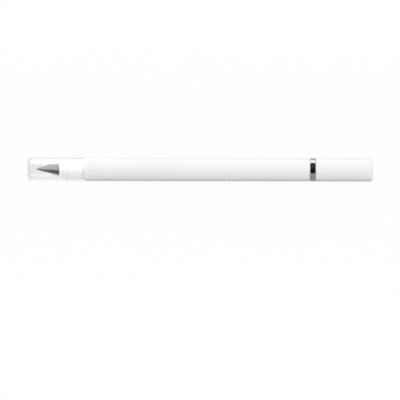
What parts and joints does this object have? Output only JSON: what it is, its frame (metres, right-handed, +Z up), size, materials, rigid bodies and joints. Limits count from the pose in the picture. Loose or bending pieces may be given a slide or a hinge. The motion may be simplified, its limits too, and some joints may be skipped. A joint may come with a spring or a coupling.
{
  "type": "dual-tip pen",
  "caption": "Slim white two-ended pen: an inkless pencil nib under a clear pull-off cap at one end, a screw-in ballpoint with a chrome nose under a white cap at the other.",
  "frame": {"origin": "on the ground under the middle of the capped pen's length", "axes": "+X along the pen towards the ballpoint's white cap, +Z up, +Y to the left of +X"},
  "size_m": [0.1488, 0.01, 0.01],
  "materials": {
    "white_lacquer": "gloss",
    "brass": "satin",
    "white_plastic": "satin",
    "nib_alloy": "satin",
    "black_plastic": "matte",
    "spring_steel": "satin",
    "clear_plastic": "gloss",
    "nickel_silver": "polished",
    "grey_plastic": "satin",
    "ink": "gloss",
    "grease": "gloss",
    "ball_carbide": "polished",
    "chrome": "polished",
    "natural_plastic": "satin"
  },
  "bodies": {
    "barrel": {"barrel_tube": "white_lacquer", "barrel_bush": "brass", "nib_holder": "white_plastic", "pencil_nib": "nib_alloy", "nib_stud": "black_plastic", "refill_spring": "spring_steel"},
    "clear_cap": {"clear_cap": "clear_plastic"},
    "refill": {"refill_tube": "brass", "refill_tip": "nickel_silver", "refill_plug": "grey_plastic", "ink_column": "ink", "ink_follower": "grease"},
    "ball": {"writing_ball": "ball_carbide"},
    "nose": {"nose_cone": "chrome"},
    "pen_cap": {"pen_cap_shell": "white_lacquer", "pen_cap_liner": "natural_plastic"}
  },
  "joints": [
    {"name": "clear_cap_pull", "type": "slide", "parent": "barrel", "child": "clear_cap", "axis": [-1, 0, 0], "range_m": [0, 0.03]},
    {"name": "refill_advance", "type": "slide", "parent": "barrel", "child": "refill", "axis": [1, 0, 0], "range_m": [0, 0.005], "deforming": ["refill_spring"]},
    {"name": "nose_unscrew", "type": "hinge", "parent": "refill", "child": "nose", "pos_m": [0.04735, 0, 0.005], "axis": [1, 0, 0], "range_deg": [0, 1800]},
    {"name": "pen_cap_pull", "type": "slide", "parent": "nose", "child": "pen_cap", "axis": [1, 0, 0], "range_m": [0, 0.03]},
    {"name": "ball_roll", "type": "hinge", "parent": "refill", "child": "ball", "pos_m": [0.0671, 0, 0.005], "axis": [0, 1, 0], "continuous": true}
  ],
  "couplings": [
    {"joint": "nose_unscrew", "follows": "refill_advance", "rad_per_m": 6283.2}
  ]
}
